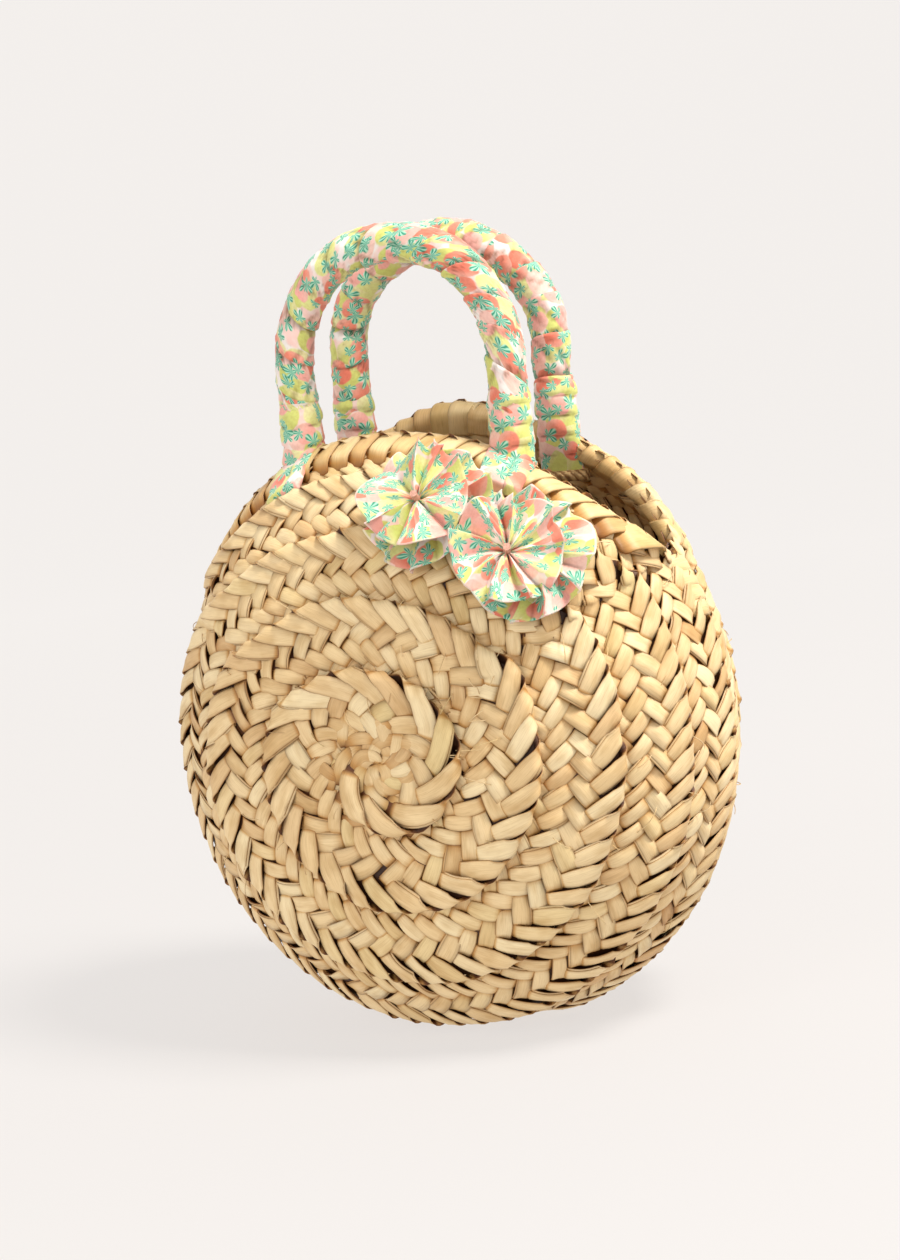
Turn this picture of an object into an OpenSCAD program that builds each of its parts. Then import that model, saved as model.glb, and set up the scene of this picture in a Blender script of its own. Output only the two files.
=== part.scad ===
// Round palm-leaf basket handbag: two domed panels of coiled palm braid, joined
// round their edges, with an open mouth, two fabric-wrapped rope handles that
// swing on cord lashings, and two fabric rosettes on the front.
// X is the width, -Y the front and Z up.  The origin is the middle of the base.

/* [Basket] */
// Width of the basket across its side seams
basket_w = 247; // [180:1:320]
// Height of the round panels before the base is pressed flat
panel_h = 264; // [200:1:340]
// Depth of the basket from the front dome to the back dome
basket_d = 169; // [130:1:220]
// Thickness of the braided palm wall
wall = 3.2; // [2:0.1:4.5]
// How far the rounded bottom is pressed flat
base_flat = 5; // [3:0.5:9]

/* [Mouth] */
// Widest gap between the front edge and the back edge
mouth_gap = 60; // [50:1:80]
// Angle from the side axis up to each corner of the mouth, in degrees
mouth_angle = 31.5; // [25:0.5:40]
// Height of the palm strip that is folded over each edge
binding_h = 9; // [6:0.5:12]
// Thickness of that strip on each side of the edge
binding_t = 2.2; // [1.5:0.1:3]
// Length of the wrapping at each corner of the mouth
corner_len = 24; // [14:1:34]

/* [Cords] */
// Turns of braid from the middle of a panel to the side seam
braid_turns = 5; // [4:1:7]
// Diameter of the palm cord that sews the turns together
sewing_d = 2.2; // [1.4:0.1:3]
// Diameter of the cord that laces the two panels together
seam_d = 3; // [2:0.1:4]

/* [Handles] */
// Distance between the two legs of a handle
handle_span = 97; // [80:1:120]
// Height of a handle from its lashing to the middle of its arch
handle_rise = 76; // [65:1:110]
// Diameter of the rope inside the handle
rope_d = 12.8; // [9:0.1:16]
// Thickness of the fabric wrapped round the rope
wrap_t = 1.5; // [0.8:0.1:2.5]
// How far a handle stands in from the edge of the mouth
handle_inset = 1; // [0:0.25:2]
// Diameter of the cord that lashes a handle to the rim
lashing_d = 3; // [2:0.1:4]
// Gap between a handle and what it turns on or past
clearance = 0.4; // [0.3:0.05:1]
// Gap between the foot of a leg and the rim below it
foot_gap = 1.2; // [0.8:0.1:3]

/* [Fabric tabs] */
// Width of the fabric tab below each handle leg
tab_w = 17; // [12:0.5:22]
// Length of the fabric tab down the outside of the wall
tab_len = 26; // [16:1:34]
// Thickness of the folded fabric tab
tab_t = 2.4; // [1.5:0.1:3.5]

/* [Rosettes] */
// Diameter of the front ruffle of each rosette
ruffle_front_d = 40; // [32:1:44]
// Diameter of the back ruffle of each rosette
ruffle_back_d = 44; // [36:1:48]
// Depth of the front ruffle
ruffle_front_t = 8; // [5:0.5:11]
// Depth of the back ruffle
ruffle_back_t = 7; // [4:0.5:10]
// Diameter of the gathering stitch through a rosette
stitch_d = 3; // [2:0.1:4]

/* [Hidden] */

palm = "burlywood";
cord = "peru";
print_cloth = "lightsalmon";
print_cloth_back = "palegreen";

half_w = basket_w / 2;
half_h = panel_h / 2;
half_d = basket_d / 2;
centre_z = half_h - base_flat;
half_gap = mouth_gap / 2;
ring_count = 14;
spoke_count = 60;
tube_sides = 8;
round_fn = 48;

// ---- the domed surface of a panel ----
// s runs from 0 at the middle of the dome to 1 at its edge, th is the angle in
// the X-Z plane.  Every point is for the back panel; the front is its mirror.

function mouth_share(th) =
    (th <= mouth_angle || th >= 180 - mouth_angle) ? 0
    : sin(180 * (th - mouth_angle) / (180 - 2 * mouth_angle));
function edge_y(th) = half_gap * sqrt(mouth_share(th));
function dome_power(th) = 0.5 + 0.35 * mouth_share(th);
function dome_fall(r, th) = pow(max(1 - pow(r, 3), 0), dome_power(th));
function dome(s, th) =
    let (r = s * (2 - s), y = edge_y(th) + (half_d - edge_y(th)) * dome_fall(r, th))
    [half_w * r * cos(th), y, centre_z + half_h * r * sin(th)];
function unit(v) = v / norm(v);
function along(s, th) = unit(dome(min(s + 0.01, 1), th) - dome(max(s - 0.01, 0.01), th));
function around(s, th) = unit(dome(s, th + 1) - dome(s, th - 1));
function normal(s, th) = s < 0.02 ? [0, 1, 0] : unit(cross(around(s, th), along(s, th)));

// A point d outside the surface, or inside it where d is negative, kept off the
// floor and on its own side of the middle plane.
function skin(s, th, d) =
    let (p = dome(s, th) + d * normal(s, th))
    [p.x, s > 0.999 && mouth_share(th) == 0 ? 0 : max(p.y, 0), max(p.z, max(-d, 0))];

// Where a given length of braid, measured up from the middle of a dome, ends
meridian_steps = 40;
function run(i) = i == 0 ? 0 : run(i - 1) + norm(dome(i / meridian_steps, 0) - dome((i - 1) / meridian_steps, 0));
meridian = [for (i = [0 : meridian_steps]) [run(i), i / meridian_steps]];
meridian_length = meridian[meridian_steps][0];

// The s of the point that lies a given height of wall below the edge
s_step = 0.01;
function edge_s(th, height, s = 1) =
    height <= 0 ? s : edge_s(th, height - norm(dome(s, th) - dome(s - s_step, th)), s - s_step);

// ---- general shapes ----

// Closes two matching grids of points, an outer and an inner one, into a solid
module sheet_solid(outer, inner) {
    rows = len(outer);
    cols = len(outer[0]);
    count = rows * cols;
    points = concat([for (row = outer) each row], [for (row = inner) each row]);
    function at(i, j) = i * cols + j;
    outer_faces = [
        for (i = [0 : rows - 2], j = [0 : cols - 2])
            each [[at(i, j), at(i + 1, j), at(i + 1, j + 1)], [at(i, j), at(i + 1, j + 1), at(i, j + 1)]]
    ];
    inner_faces = [for (f = outer_faces) [f[2] + count, f[1] + count, f[0] + count]];
    function wall_faces(a, b) = [[a, b, b + count], [a, b + count, a + count]];
    side_faces = concat(
        [for (j = [0 : cols - 2]) each wall_faces(at(0, j), at(0, j + 1))],
        [for (j = [0 : cols - 2]) each wall_faces(at(rows - 1, j + 1), at(rows - 1, j))],
        [for (i = [0 : rows - 2]) each wall_faces(at(i + 1, 0), at(i, 0))],
        [for (i = [0 : rows - 2]) each wall_faces(at(i, cols - 1), at(i + 1, cols - 1))]
    );
    polyhedron(points = points, faces = concat(outer_faces, inner_faces, side_faces), convexity = 8);
}

// Sweeps a list of matching closed sections into a solid with flat ends
module section_sweep(sections) {
    count = len(sections);
    sides = len(sections[0]);
    points = [for (section = sections) each section];
    side_faces = [
        for (i = [0 : count - 2], j = [0 : sides - 1])
            let (k = (j + 1) % sides, a = i * sides)
            each [[a + j, a + k, a + sides + k], [a + j, a + sides + k, a + sides + j]]
    ];
    first_end = [[for (j = [sides - 1 : -1 : 0]) j]];
    last_end = [[for (j = [0 : sides - 1]) (count - 1) * sides + j]];
    polyhedron(points = points, faces = concat(side_faces, first_end, last_end), convexity = 8);
}

// A ring of points round p, in the plane across the direction of travel
function tube_ring(p, travel, up, radius) =
    let (side = unit(cross(travel, up)), top = unit(cross(side, travel)))
    [for (k = [0 : tube_sides - 1]) p + radius * (cos(360 * k / tube_sides) * side + sin(360 * k / tube_sides) * top)];

module front() {
    mirror([0, 1, 0]) children();
}

module left() {
    mirror([1, 0, 0]) children();
}

// ---- woven panels ----

module panel() {
    s_list = [for (i = [1 : ring_count]) i / ring_count];
    th_list = [for (j = [0 : spoke_count - 1]) 360 * j / spoke_count];
    outer = [for (s = s_list, th = th_list) skin(s, th - 90, 0)];
    inner = [for (s = s_list, th = th_list) skin(s, th - 90, -wall)];
    count = len(outer);
    points = concat(outer, inner, [skin(0, 0, 0), skin(0, 0, -wall)]);
    function at(i, j) = i * spoke_count + j % spoke_count;
    outer_faces = concat(
        [for (j = [0 : spoke_count - 1]) [2 * count, at(0, j), at(0, j + 1)]],
        [
            for (i = [0 : ring_count - 2], j = [0 : spoke_count - 1])
                each [[at(i, j), at(i + 1, j), at(i + 1, j + 1)], [at(i, j), at(i + 1, j + 1), at(i, j + 1)]]
        ]
    );
    function inner_index(k) = k == 2 * count ? 2 * count + 1 : k + count;
    inner_faces = [for (f = outer_faces) [inner_index(f[2]), inner_index(f[1]), inner_index(f[0])]];
    edge = ring_count - 1;
    edge_faces = [
        for (j = [0 : spoke_count - 1])
            let (a = at(edge, j), b = at(edge, j + 1))
            each [[a, a + count, b + count], [a, b + count, b]]
    ];
    polyhedron(points = points, faces = concat(outer_faces, inner_faces, edge_faces), convexity = 8);
}

module front_panel() {
    color(palm) front() panel();
}

module back_panel() {
    color(palm) panel();
}

// The spiral cord that sews one turn of braid to the next, half sunk in the
// inside of the wall
module sewing_cord() {
    steps_per_turn = 28;
    first = round(0.6 * steps_per_turn);
    last = round((braid_turns - 0.95) * steps_per_turn);
    function turn_s(i) = lookup(meridian_length * i / (braid_turns * steps_per_turn), meridian);
    function spot(i) = skin(turn_s(i), 360 * i / steps_per_turn, -wall);
    section_sweep([
        for (i = [first : last])
            tube_ring(spot(i), unit(spot(i + 1) - spot(i - 1)), normal(turn_s(i), 360 * i / steps_per_turn), sewing_d / 2)
    ]);
}

module front_sewing_cord() {
    color(cord) front() sewing_cord();
}

module back_sewing_cord() {
    color(cord) sewing_cord();
}

// The cord that laces the panels together, in the corner inside the seam
module side_seam_lacing() {
    inset = wall + seam_d / 2;
    steps = 64;
    from_th = 180 - mouth_angle + 4;
    to_th = 360 + mouth_angle - 4;
    function th_at(i) = from_th + (to_th - from_th) * i / steps;
    function spot(th) = [
        (half_w - inset) * cos(th),
        0,
        max(centre_z + (half_h - inset) * sin(th), inset + clearance)
    ];
    color(cord) section_sweep([
        for (i = [0 : steps])
            tube_ring(spot(th_at(i)), unit(spot(th_at(i) + 1) - spot(th_at(i) - 1)), [0, 1, 0], seam_d / 2)
    ]);
}

// ---- rim bindings ----

// A folded palm strip over the edge of a panel, with the wall in its slot
module rim_binding() {
    steps = 44;
    from_th = mouth_angle + 4;
    to_th = 180 - mouth_angle - 4;
    function section(th) =
        let (top = dome(1, th), out = normal(1, th), up = along(1, th))
        [
            for (q = [
                [binding_t, -binding_h], [binding_t, binding_t], [-wall - binding_t, binding_t],
                [-wall - binding_t, -binding_h], [-wall, -binding_h], [-wall, 0], [0, 0], [0, -binding_h]
            ])
                top + q[0] * out + q[1] * up
        ];
    section_sweep([for (i = [0 : steps]) section(from_th + (to_th - from_th) * i / steps)]);
}

module front_rim_binding() {
    color(palm) front() rim_binding();
}

module back_rim_binding() {
    color(palm) rim_binding();
}

// Strips wrapped over the seam just below a corner of the mouth
module corner_wrap() {
    depth_steps = 5;
    length_steps = 8;
    reach = 0.22;
    corner_angle = corner_len / half_h * 180 / PI;
    function s_at(i) = 1 - reach * abs(i) / depth_steps;
    function side(p, i) = i < 0 ? [p.x, -p.y, p.z] : p;
    function grid(d) = [
        for (j = [0 : length_steps])
            let (th = mouth_angle - corner_angle * (1 - j / length_steps))
            [for (i = [-depth_steps : depth_steps]) side(skin(s_at(i), th, d), i)]
    ];
    sheet_solid(grid(binding_t), grid(0));
}

module right_corner_wrap() {
    color(palm) corner_wrap();
}

module left_corner_wrap() {
    color(palm) left() corner_wrap();
}

// ---- handles ----

arch_r = handle_span / 2;
leg_x = handle_span / 2;
wrap_r = rope_d / 2 + wrap_t;
leg_th = acos(leg_x / half_w);
handle_y = edge_y(leg_th) - handle_inset;
lash_r = lashing_d / 2;
// The rim slopes, so a foot comes nearest to it on the side towards the middle
nearest_th = acos((leg_x - 0.45 * wrap_r) / half_w);
pivot_z = dome(1, nearest_th).z + binding_t + wrap_r + foot_gap;
leg_len = handle_rise - arch_r;
arch_z = pivot_z + leg_len;

// An arch of round section, with straight legs that end in balls at the pivot
module handle_rod(radius) {
    translate([0, 0, arch_z]) rotate([90, 0, 0]) rotate_extrude(angle = 180, $fn = 96)
        translate([arch_r, 0]) circle(r = radius, $fn = round_fn);
    for (side = [-1, 1]) {
        translate([side * leg_x, 0, pivot_z]) cylinder(r = radius, h = leg_len, $fn = round_fn);
        translate([side * leg_x, 0, pivot_z]) sphere(r = radius, $fn = round_fn);
    }
}

module lashing_bores() {
    bore_len = 4 * wrap_r;
    for (side = [-1, 1])
        translate([side * leg_x - bore_len / 2, 0, pivot_z]) rotate([0, 90, 0])
            cylinder(r = lash_r + clearance, h = bore_len, $fn = round_fn);
}

module handle_rope() {
    difference() {
        handle_rod(rope_d / 2);
        lashing_bores();
    }
}

module handle_wrap() {
    difference() {
        handle_rod(wrap_r);
        handle_rod(rope_d / 2);
        lashing_bores();
    }
}

module front_handle_rope() {
    color(cord) translate([0, -handle_y, 0]) handle_rope();
}

module front_handle_wrap() {
    color(print_cloth) translate([0, -handle_y, 0]) handle_wrap();
}

module back_handle_rope() {
    color(cord) translate([0, handle_y, 0]) handle_rope();
}

module back_handle_wrap() {
    color(print_cloth) translate([0, handle_y, 0]) handle_wrap();
}

// ---- lashings, knots and tabs at the foot of each leg ----

lash_side = wrap_r + clearance + lash_r;
knot_r = 2.6;
knot_overhang = 2;
// The knots hang just below the binding, which is lowest at their outer ends
outer_th = acos((leg_x + lash_side + knot_overhang) / half_w);
knot_z = dome(1, outer_th).z - binding_h - knot_r;
lash_drop = pivot_z - knot_z;

// A loop of cord through the foot of a leg and down through the rim, here for
// the right-hand end of the back handle
module lashing() {
    translate([leg_x, handle_y, 0]) {
        translate([-lash_side, 0, pivot_z]) rotate([0, 90, 0]) cylinder(r = lash_r, h = 2 * lash_side, $fn = round_fn);
        for (side = [-1, 1]) {
            translate([side * lash_side, 0, pivot_z]) sphere(r = lash_r, $fn = round_fn);
            translate([side * lash_side, 0, knot_z]) cylinder(r = lash_r, h = lash_drop, $fn = round_fn);
        }
    }
}

// The knot that holds the loop inside the wall, a short bar of wound cord
module knot() {
    bar = 2 * (lash_side + knot_overhang);
    translate([leg_x - bar / 2, handle_y, knot_z]) rotate([0, 90, 0]) cylinder(r = knot_r, h = bar, $fn = round_fn);
}

// The end of the fabric strip, folded flat down the outside of the wall
module tab() {
    rows = 6;
    cols = 4;
    upper_s = edge_s(leg_th, binding_h + clearance);
    lower_s = edge_s(leg_th, binding_h + tab_len);
    spread = tab_w / half_h * 90 / PI;
    function grid(d) = [
        for (i = [0 : rows])
            [for (j = [0 : cols]) skin(upper_s + (lower_s - upper_s) * i / rows, leg_th + spread * (1 - 2 * j / cols), d)]
    ];
    sheet_solid(grid(tab_t), grid(0));
}

module back_right_lashing() {
    color(cord) lashing();
}

module back_left_lashing() {
    color(cord) left() lashing();
}

module front_right_lashing() {
    color(cord) front() lashing();
}

module front_left_lashing() {
    color(cord) front() left() lashing();
}

module back_right_knot() {
    color(cord) knot();
}

module back_left_knot() {
    color(cord) left() knot();
}

module front_right_knot() {
    color(cord) front() knot();
}

module front_left_knot() {
    color(cord) front() left() knot();
}

module back_right_tab() {
    color(print_cloth) tab();
}

module back_left_tab() {
    color(print_cloth) left() tab();
}

module front_right_tab() {
    color(print_cloth) front() tab();
}

module front_left_tab() {
    color(print_cloth) front() left() tab();
}

// ---- rosettes ----

// Each rosette's place on the front dome: angle, s, and how far its back ruffle
// is pushed to the right
left_rosette_place = [77, 0.53, 3];
right_rosette_place = [52, 0.51, 7];
ruffle_gap = 0.4;
base_gap = 1.6;

// Stands a rosette's own Z axis on the front dome
module on_front(place) {
    p = dome(place[1], place[0]);
    n = normal(place[1], place[0]);
    translate([p.x, -p.y, p.z])
        rotate([0, 0, atan2(-n.y, n.x)]) rotate([0, acos(n.z), 0]) children();
}

module ruffle(diameter, thickness) {
    lip = 0.3 * thickness;
    rotate_extrude($fn = 64) polygon([
        [stitch_d / 2, 0], [diameter / 2 - lip, 0], [diameter / 2, lip],
        [diameter / 2, thickness - lip], [diameter / 2 - lip, thickness], [stitch_d / 2, thickness]
    ]);
}

module rosette_back(place) {
    on_front(place) translate([0, 0, base_gap]) difference() {
        translate([0, place[2], 0]) cylinder(d = ruffle_back_d, h = ruffle_back_t, $fn = 64);
        translate([0, 0, -1]) cylinder(d = stitch_d, h = ruffle_back_t + 2, $fn = 32);
    }
}

module rosette_front(place) {
    on_front(place) translate([0, 0, base_gap + ruffle_back_t + ruffle_gap])
        ruffle(ruffle_front_d, ruffle_front_t);
}

module rosette_stitch(place) {
    top = base_gap + ruffle_back_t + ruffle_gap + ruffle_front_t;
    on_front(place) translate([0, 0, -wall - 1]) cylinder(d = stitch_d, h = top + wall, $fn = 32);
}

module left_rosette_front() {
    color(print_cloth) rosette_front(left_rosette_place);
}

module left_rosette_back() {
    color(print_cloth_back) rosette_back(left_rosette_place);
}

module left_rosette_stitch() {
    color(cord) rosette_stitch(left_rosette_place);
}

module right_rosette_front() {
    color(print_cloth) rosette_front(right_rosette_place);
}

module right_rosette_back() {
    color(print_cloth_back) rosette_back(right_rosette_place);
}

module right_rosette_stitch() {
    color(cord) rosette_stitch(right_rosette_place);
}

front_panel();
back_panel();
front_sewing_cord();
back_sewing_cord();
side_seam_lacing();
front_rim_binding();
back_rim_binding();
left_corner_wrap();
right_corner_wrap();
front_handle_rope();
front_handle_wrap();
back_handle_rope();
back_handle_wrap();
front_left_lashing();
front_right_lashing();
back_left_lashing();
back_right_lashing();
front_left_knot();
front_right_knot();
back_left_knot();
back_right_knot();
front_left_tab();
front_right_tab();
back_left_tab();
back_right_tab();
left_rosette_front();
left_rosette_back();
left_rosette_stitch();
right_rosette_front();
right_rosette_back();
right_rosette_stitch();
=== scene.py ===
import math

import bpy
import numpy as np
from mathutils import Matrix, Vector


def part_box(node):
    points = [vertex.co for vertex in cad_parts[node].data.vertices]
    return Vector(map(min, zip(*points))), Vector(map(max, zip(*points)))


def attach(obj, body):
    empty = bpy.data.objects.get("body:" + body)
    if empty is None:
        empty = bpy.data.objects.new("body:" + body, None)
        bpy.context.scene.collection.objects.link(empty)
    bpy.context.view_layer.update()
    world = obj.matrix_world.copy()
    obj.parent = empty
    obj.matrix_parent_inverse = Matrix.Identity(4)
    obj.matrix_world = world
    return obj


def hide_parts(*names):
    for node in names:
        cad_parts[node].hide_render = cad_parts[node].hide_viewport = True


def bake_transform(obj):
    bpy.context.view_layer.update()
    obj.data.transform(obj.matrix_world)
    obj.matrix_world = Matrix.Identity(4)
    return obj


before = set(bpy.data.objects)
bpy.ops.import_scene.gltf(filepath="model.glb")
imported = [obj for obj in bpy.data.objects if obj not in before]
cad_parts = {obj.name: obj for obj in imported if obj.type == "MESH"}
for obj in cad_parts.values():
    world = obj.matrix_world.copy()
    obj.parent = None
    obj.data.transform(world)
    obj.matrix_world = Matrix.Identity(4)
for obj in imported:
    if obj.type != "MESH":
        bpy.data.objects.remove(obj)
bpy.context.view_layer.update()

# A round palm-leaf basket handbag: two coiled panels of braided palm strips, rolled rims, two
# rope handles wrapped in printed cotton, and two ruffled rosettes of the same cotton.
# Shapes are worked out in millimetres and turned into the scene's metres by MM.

MM = 0.001
TAU = 2 * math.pi


# ---- sizes, in millimetres ----

def box_mm(node):
    low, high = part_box(node)
    return np.array(low) / MM, np.array(high) / MM


panel_low, panel_high = box_mm("front_panel")
WALL = 3.2
BASE_FLAT = 5.0
MOUTH_ANGLE = 31.5
MOUTH_HALF = 30.0
HALF_W = panel_high[0]
HALF_D = -panel_low[1]
HALF_H = (panel_high[2] + BASE_FLAT) / 2
CENTRE_Z = HALF_H - BASE_FLAT

TURNS = 5
COIL_START = 0.27
COIL_END = 5.5
COIL_TAPER = 0.12
COIL_END_ANGLE = 170.0

STRIP_PITCH = 9.5
RING_W = 9.3
RINGS = 4
STRIP_W = 6.8
STRIP_T = 0.85
ROLL_R = 2.0
TUCK = 3.0
BRAID_W = 33.6


# ---- camera ----

CAMERA_AZIMUTH = math.radians(24.6)
CAMERA_ELEVATION = math.radians(10.0)
CAMERA_ROLL = math.radians(5.5)
CAMERA_DISTANCE = 1148.0
CAMERA_AIM_UP = 41.7
FOCAL = 75.0
SENSOR = 36.0
CLIP_END = 20.0


def look_matrix(position, aim, roll=0.0):
    """The placing of a camera or a light at one point that faces another."""
    back = (position - aim).normalized()
    right = Vector((0, 0, 1)).cross(back).normalized()
    up = back.cross(right)
    turned_right = math.cos(roll) * right - math.sin(roll) * up
    turned_up = math.sin(roll) * right + math.cos(roll) * up
    matrix = Matrix((turned_right, turned_up, back)).transposed().to_4x4()
    matrix.translation = position
    return matrix


body_centre = Vector((0, 0, CENTRE_Z * MM))
camera_side = Vector((
    math.sin(CAMERA_AZIMUTH) * math.cos(CAMERA_ELEVATION),
    -math.cos(CAMERA_AZIMUTH) * math.cos(CAMERA_ELEVATION),
    math.sin(CAMERA_ELEVATION),
))
camera_position = body_centre + camera_side * CAMERA_DISTANCE * MM
camera_data = bpy.data.cameras.new("camera")
camera_data.lens = FOCAL
camera_data.sensor_fit = "VERTICAL"
camera_data.sensor_height = SENSOR
camera_data.clip_end = CLIP_END
camera = bpy.data.objects.new("camera", camera_data)
bpy.context.scene.collection.objects.link(camera)
camera.matrix_world = look_matrix(
    camera_position, body_centre + Vector((0, 0, CAMERA_AIM_UP * MM)), CAMERA_ROLL)
bpy.context.scene.camera = camera
bpy.context.scene.view_settings.view_transform = "Standard"


# ---- meshes from arrays ----

def mesh_object(name, points, quads, attributes=None, caps=None):
    """A smooth mesh from points in millimetres, quads, optional longer end faces, and one value
    per point for each named attribute."""
    caps = np.zeros((0, 3), int) if caps is None else np.asarray(caps)
    loops = np.concatenate([quads.ravel(), caps.ravel()]).astype(np.int32)
    totals = np.concatenate([np.full(len(quads), quads.shape[1]), np.full(len(caps), caps.shape[1])])
    starts = np.concatenate([[0], np.cumsum(totals)[:-1]]).astype(np.int32)
    mesh = bpy.data.meshes.new(name)
    mesh.vertices.add(len(points))
    mesh.vertices.foreach_set("co", (np.asarray(points) * MM).astype(np.float32).ravel())
    mesh.loops.add(len(loops))
    mesh.loops.foreach_set("vertex_index", loops)
    mesh.polygons.add(len(totals))
    mesh.polygons.foreach_set("loop_start", starts)
    mesh.polygons.foreach_set("loop_total", totals.astype(np.int32))
    mesh.polygons.foreach_set("use_smooth", np.ones(len(totals), bool))
    for key, values in (attributes or {}).items():
        layer = mesh.attributes.new(key, "FLOAT", "POINT")
        layer.data.foreach_set("value", np.asarray(values, np.float32).ravel())
    mesh.update(calc_edges=True)
    mesh.validate()
    piece = bpy.data.objects.new(name, mesh)
    bpy.context.scene.collection.objects.link(piece)
    return piece


def mesh_points(mesh):
    points = np.empty(len(mesh.vertices) * 3, np.float32)
    mesh.vertices.foreach_get("co", points)
    return points.reshape(-1, 3)


def grid_quads(shape):
    """Quads over a grid of points, counted row by row."""
    ring = np.arange(shape[0] * shape[1]).reshape(shape)
    return np.stack([ring[:-1, :-1], ring[:-1, 1:], ring[1:, 1:], ring[1:, :-1]], -1).reshape(-1, 4)


def unit(v):
    return v / np.maximum(np.linalg.norm(v, axis=-1, keepdims=True), 1e-9)


def smooth(x):
    x = np.clip(x, 0, 1)
    return x * x * (3 - 2 * x)


# A strip's closed section: share of its width, and height in crowns and in thicknesses
LEAF_SECTION = np.array([
    (-0.50, 0.0, 0.0), (-0.45, 0.2, 0.5), (-0.24, 0.77, 0.5), (0.0, 1.0, 0.5), (0.24, 0.77, 0.5),
    (0.45, 0.2, 0.5), (0.50, 0.0, 0.0), (0.40, 0.2, -0.5), (0.0, 0.6, -0.5), (-0.40, 0.2, -0.5),
])
PLY_SECTION = np.array([
    (-0.50, 0.0, 0.3), (0.0, 0.8, 0.5), (0.50, 0.0, 0.3), (0.5, 0.0, -0.4), (0.0, 0.6, -0.5),
    (-0.5, 0.0, -0.4),
])


def strips_mesh(name, centre, normal, width, thickness, crown, tone, lift,
                section=LEAF_SECTION, shift=0.0, woven=False):
    """Closed strips along centre lines: centre and normal are (strips, steps, 3), width and lift
    (how far up a strip lies, 0 to 1, which the palm material turns into painted shade where it is low) are
    (strips, steps), tone is one value per strip.  A woven strip that lies low on one side of the wall lies
    high on the other."""
    count, steps = centre.shape[:2]
    sides = len(section)
    travel = np.gradient(centre, axis=1)
    across = unit(np.cross(normal, travel))
    out = unit(np.cross(travel, across))
    lateral = section[:, 0] * width[..., None] + shift
    height = section[:, 1] * crown + section[:, 2] * thickness
    points = (centre[:, :, None] + across[:, :, None] * lateral[..., None]
              + out[:, :, None] * height[None, None, :, None])
    ring = np.arange(count * steps * sides).reshape(count, steps, sides)
    a, b = ring[:, :-1], ring[:, 1:]
    quads = np.stack([a, b, np.roll(b, -1, 2), np.roll(a, -1, 2)], -1).reshape(-1, 4)
    caps = np.concatenate([ring[:, 0], ring[:, -1, ::-1]])
    length = np.cumsum(np.linalg.norm(travel, axis=-1), axis=1)
    shape = (count, steps, sides)
    attributes = {
        "tone": np.broadcast_to(tone[:, None, None], shape),
        "along": np.broadcast_to(length[:, :, None], shape),
        "across": np.broadcast_to(section[:, 0], shape),
        "lift": np.broadcast_to(lift[:, :, None], shape),
    }
    if woven:
        top = np.clip(0.5 + section[:, 2], 0, 1)
        attributes["lift"] = top * lift[:, :, None] + (1 - top) * (1 - lift[:, :, None])
    return mesh_object(name, points.reshape(-1, 3), quads, attributes, caps)


# ---- the dome of a panel ----

def mouth_share(th):
    x = (th - MOUTH_ANGLE) / (180 - 2 * MOUTH_ANGLE)
    return np.where((x > 0) & (x < 1), np.sin(math.pi * np.clip(x, 0, 1)), 0.0)


# soft places in each panel's mouth edge, seen from its own side: from angle, to angle, rise
SAGS = {
    "front": ((MOUTH_ANGLE, 115.5, -6.0), (MOUTH_ANGLE, 74.0, -5.0)),
    "back": ((73.0, 107.0, 6.5), (121.0, 180 - MOUTH_ANGLE, 3.0)),
}


def edge_sag(th, bumps):
    """How far a panel's mouth edge stands above the even curve."""
    return sum(
        rise * np.sin(math.pi * np.clip((th - low) / (high - low), 0, 1)) ** 1.5
        for low, high, rise in bumps)


SAG_FADE = 5


def wall_depth(share, r):
    """How far a panel bulges out at r of the way to its edge, where the mouth's edge stands open by
    share of its greatest width."""
    edge = MOUTH_HALF * np.sqrt(share)
    return edge + (HALF_D - edge) * np.maximum(1 - r ** 3, 0) ** (0.5 + 0.35 * share)


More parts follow.
